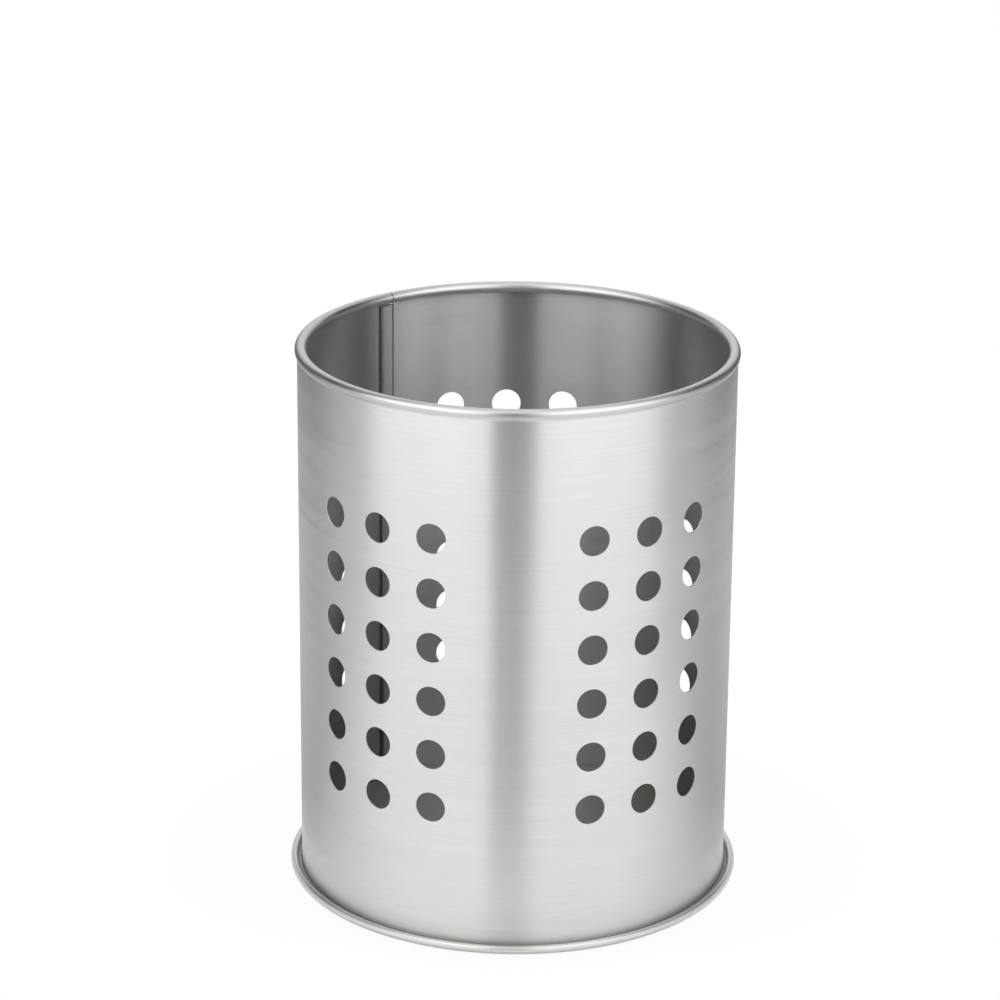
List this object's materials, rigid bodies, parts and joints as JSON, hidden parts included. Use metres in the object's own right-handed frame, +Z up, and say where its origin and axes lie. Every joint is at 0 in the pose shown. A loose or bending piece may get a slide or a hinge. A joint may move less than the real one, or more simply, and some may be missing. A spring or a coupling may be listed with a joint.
{
  "type": "utensil holder",
  "caption": "Open-topped round steel canister for kitchen utensils, with punched drying holes, a curled rim, a lock-seamed wall and a seamed-on base.",
  "frame": {"origin": "middle of the foot ring, on the table", "axes": "+Z up along the axis of the canister; -Y is the pictured side, +X to its right"},
  "size_m": [0.1212, 0.1212, 0.1472],
  "materials": {
    "wall": "brushed round the wall, rim burnished by the curling",
    "base": "satin panel, seam burnished by the curling"
  },
  "bodies": {
    "root": {"wall": "wall", "base": "base"}
  },
  "joints": []
}
